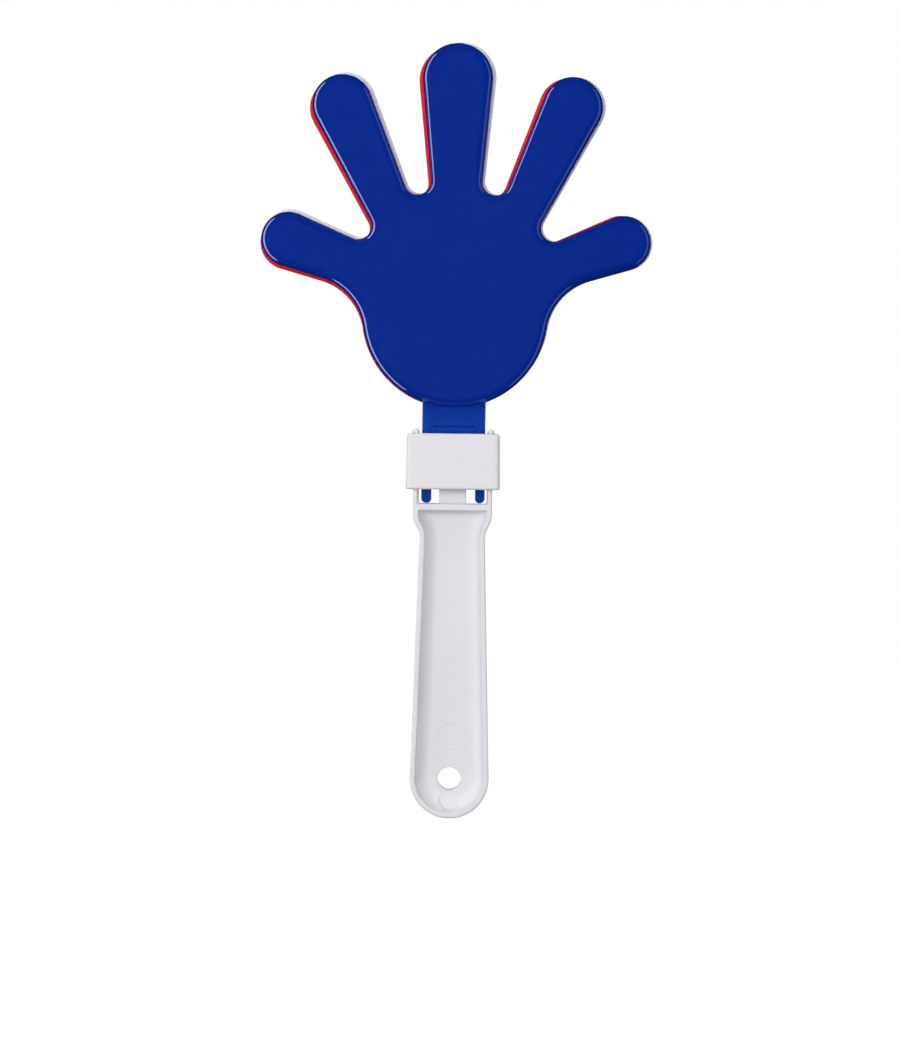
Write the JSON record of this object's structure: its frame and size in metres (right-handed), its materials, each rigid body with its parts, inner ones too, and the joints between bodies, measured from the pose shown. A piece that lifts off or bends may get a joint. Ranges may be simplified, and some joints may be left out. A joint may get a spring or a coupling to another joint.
{
  "type": "hand clapper",
  "caption": "Hand-shaped party clapper: two outer hands swing on a forked handle, inside its collar, and clap against a fixed middle hand.",
  "frame": {"origin": "middle of the grip, half way from its rounded end to the top of the cross bar, on the handle's mid plane", "axes": "+Z along the handle towards the fingertips, -Y out of the front hand's face, +X to the right seen from the front"},
  "size_m": [0.1421, 0.0228, 0.2801],
  "materials": {
    "handle_white": "satin moulded",
    "collar_white": "satin moulded",
    "hand_blue": "glossy moulded",
    "hand_white": "glossy moulded",
    "hand_red": "glossy moulded"
  },
  "bodies": {
    "handle": {"handle": "handle_white", "collar": "collar_white", "middle_hand": "hand_white"},
    "front_hand": {"front_hand": "hand_blue"},
    "rear_hand": {"rear_hand": "hand_red"}
  },
  "joints": [
    {"name": "front_swing", "type": "hinge", "parent": "handle", "child": "front_hand", "pos_m": [0, -0.0029, 0.0636], "axis": [1, 0, 0], "range_deg": [0, 11.5]},
    {"name": "rear_swing", "type": "hinge", "parent": "handle", "child": "rear_hand", "pos_m": [0, 0.0029, 0.0636], "axis": [-1, 0, 0], "range_deg": [0, 11.5]}
  ]
}
